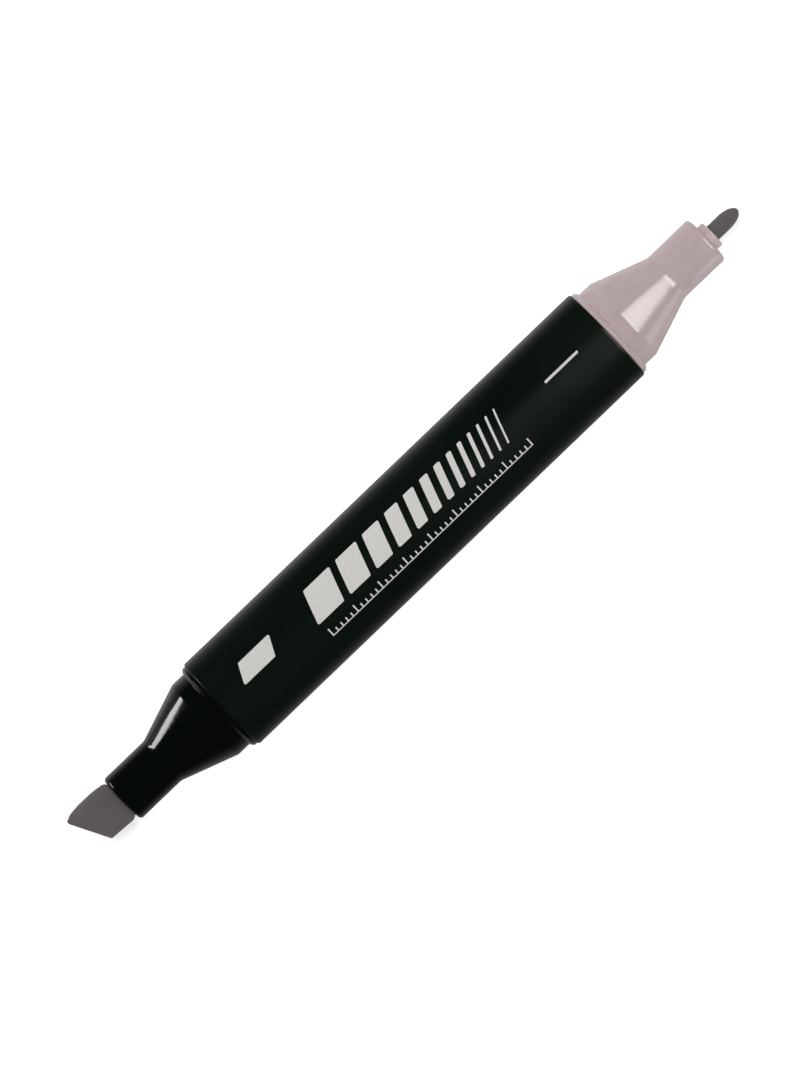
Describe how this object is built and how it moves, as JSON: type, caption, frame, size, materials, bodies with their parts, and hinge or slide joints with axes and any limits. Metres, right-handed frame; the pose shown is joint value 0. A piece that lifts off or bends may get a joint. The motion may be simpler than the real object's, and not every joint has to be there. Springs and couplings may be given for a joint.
{
  "type": "felt tip marker",
  "caption": "Round twin-tip felt marker, shown without its caps, with a broad chisel nib at one end and a fine bullet nib at the other; both nibs pull out for replacement.",
  "frame": {"origin": "middle of the barrel's length, on the barrel's axis", "axes": "+X along the axis towards the fine bullet nib, +Y towards the long side of the chisel nib's head, +Z out of the chisel nib's upper wide face; the marker lies on its side"},
  "size_m": [0.1327, 0.016, 0.016],
  "materials": {
    "barrel": "satin black with a very fine moulded grain",
    "broad_holder": "glossy black",
    "fine_holder": "slightly translucent warm grey, glossy",
    "nib_sleeve": "slightly translucent warm grey, satin",
    "nib_felt": "dense ink-soaked felt, dark neutral grey",
    "reservoir_fibre": "ink-soaked bundled fibre",
    "reservoir_film": "thin translucent film",
    "print": "light grey pad print"
  },
  "bodies": {
    "body": {"barrel": "barrel", "broad_tip_holder": "broad_holder", "fine_tip_holder": "fine_holder", "fine_nib_sleeve": "nib_sleeve", "reservoir_fibre": "reservoir_fibre", "reservoir_film": "reservoir_film"},
    "broad_nib": {"chisel_nib": "nib_felt"},
    "fine_nib": {"bullet_nib": "nib_felt"}
  },
  "joints": [
    {"name": "broad_nib_pull", "type": "slide", "parent": "body", "child": "broad_nib", "axis": [-1, 0, 0], "range_m": [0, 0.032]},
    {"name": "fine_nib_pull", "type": "slide", "parent": "body", "child": "fine_nib", "axis": [1, 0, 0], "range_m": [0, 0.033]}
  ]
}
